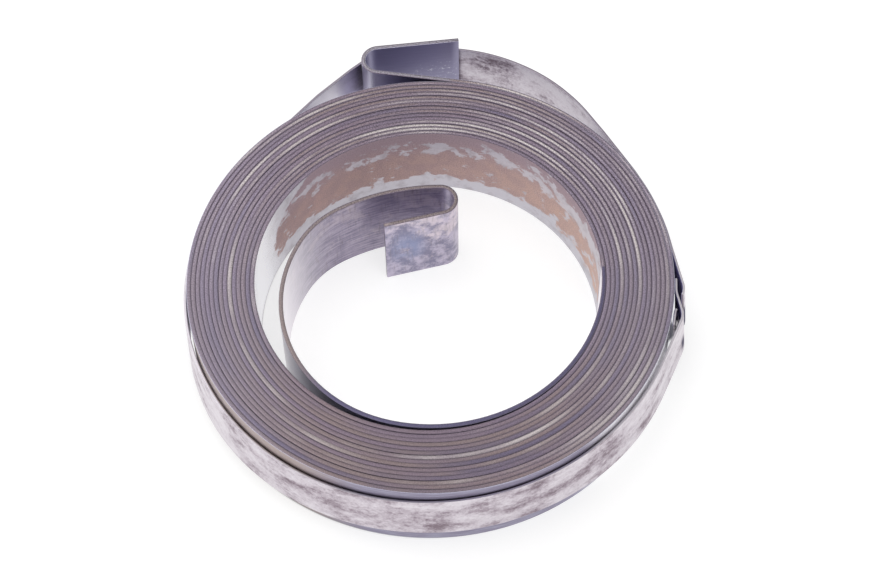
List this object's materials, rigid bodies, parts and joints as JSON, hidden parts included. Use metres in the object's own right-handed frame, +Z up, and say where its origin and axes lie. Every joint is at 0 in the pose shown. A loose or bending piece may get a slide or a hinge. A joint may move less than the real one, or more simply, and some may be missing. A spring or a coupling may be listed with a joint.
{
  "type": "recoil starter spring",
  "caption": "Flat spiral spring of steel strip for a recoil starter, tightly wound with a folded hook at each end and held closed by a narrow steel band whose slit ends interlock.",
  "frame": {"origin": "the coil's axis, in the plane of the strip's lower edges", "axes": "+Z up along the coil's axis, +Y towards the outer hook, +X to the right of it, where the band's ends interlock"},
  "size_m": [0.0578, 0.0637, 0.011],
  "materials": {
    "spring_steel": "tempered strip, satin, oxide-toned with rusty and worn patches",
    "band_steel": "bright strip, satin, with dull oxide blotches"
  },
  "bodies": {
    "root": {"spring": "spring_steel", "retaining_band": "band_steel"}
  },
  "joints": []
}
